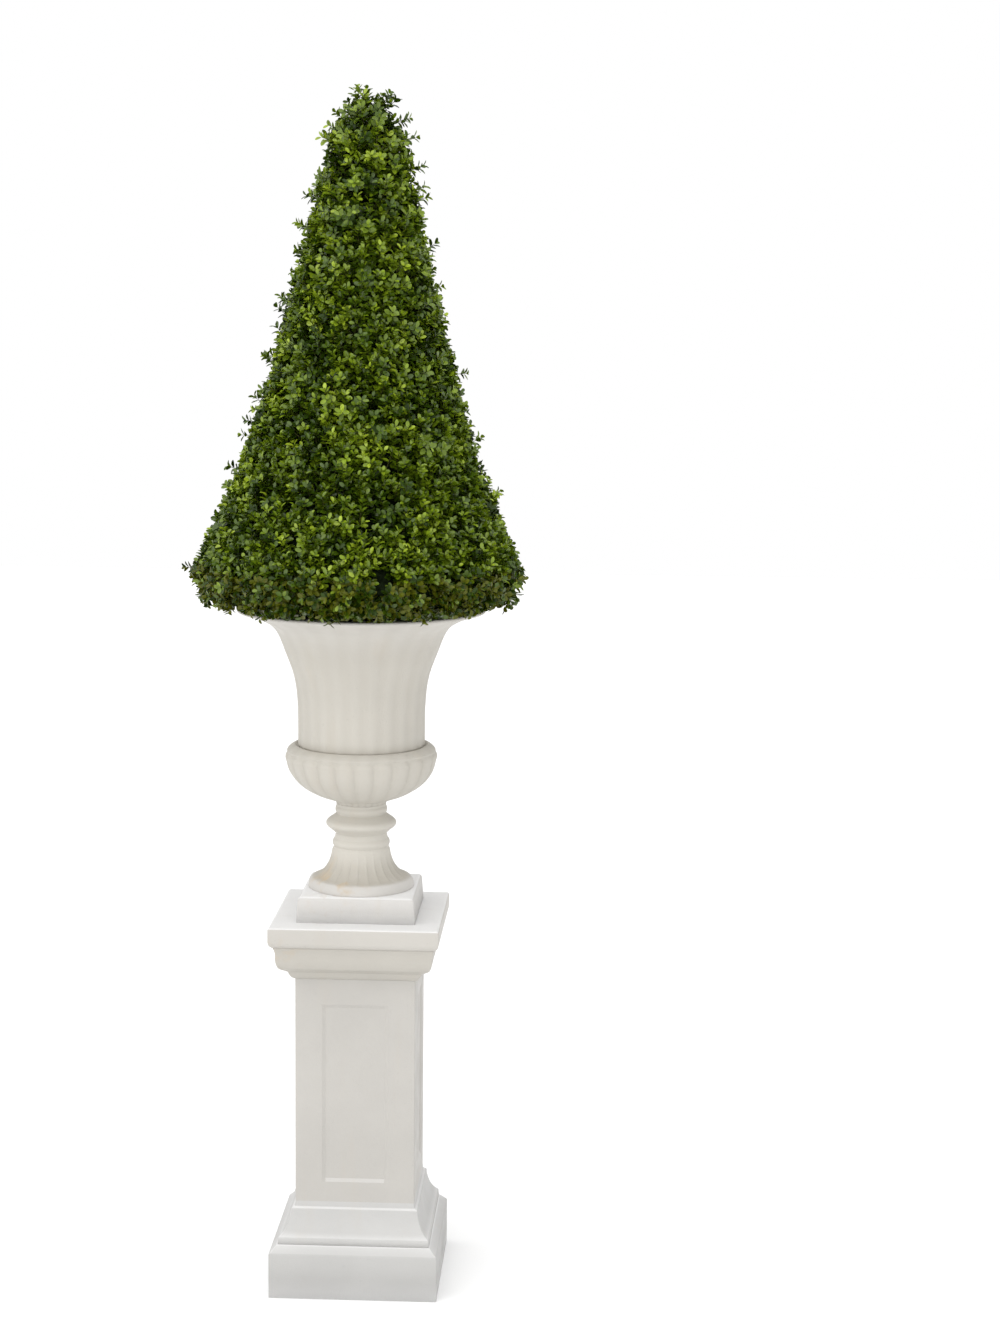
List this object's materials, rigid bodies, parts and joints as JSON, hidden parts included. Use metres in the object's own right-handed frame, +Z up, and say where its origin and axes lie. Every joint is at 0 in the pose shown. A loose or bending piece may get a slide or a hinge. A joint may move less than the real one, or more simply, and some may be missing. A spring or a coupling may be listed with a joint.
{
  "type": "artificial boxwood cone topiary",
  "caption": "Clipped artificial boxwood cone topiary standing in a fluted classical urn with a broad flat rim, on a square moulded pedestal with sunk panels.",
  "frame": {"origin": "on the ground, under the centre of the pedestal's square underside", "axes": "+Z up along the axis of pedestal and urn, from which the cone leans about one degree towards +X; -Y is the side seen in front, with the pedestal's flat faces towards X and Y"},
  "size_m": [0.6415, 0.6289, 2.1962],
  "materials": {
    "pedestal": "painted white, matte with a faint sheen",
    "urn": "painted warm off-white, matte, faintly speckled",
    "fill": "dark and rough",
    "stem": "rough brown bark",
    "leaves": "small green leaves, satin, with brighter tips"
  },
  "bodies": {
    "root": {"pedestal_plinth": "pedestal", "pedestal_base_moulding": "pedestal", "pedestal_shaft": "pedestal", "pedestal_cap_moulding": "pedestal", "pedestal_cap_slab": "pedestal", "urn_foot_block": "urn", "urn_socle": "urn", "urn_bowl": "urn", "urn_cup": "urn", "urn_fill": "fill", "stem": "stem", "foliage": "leaves"}
  },
  "joints": []
}
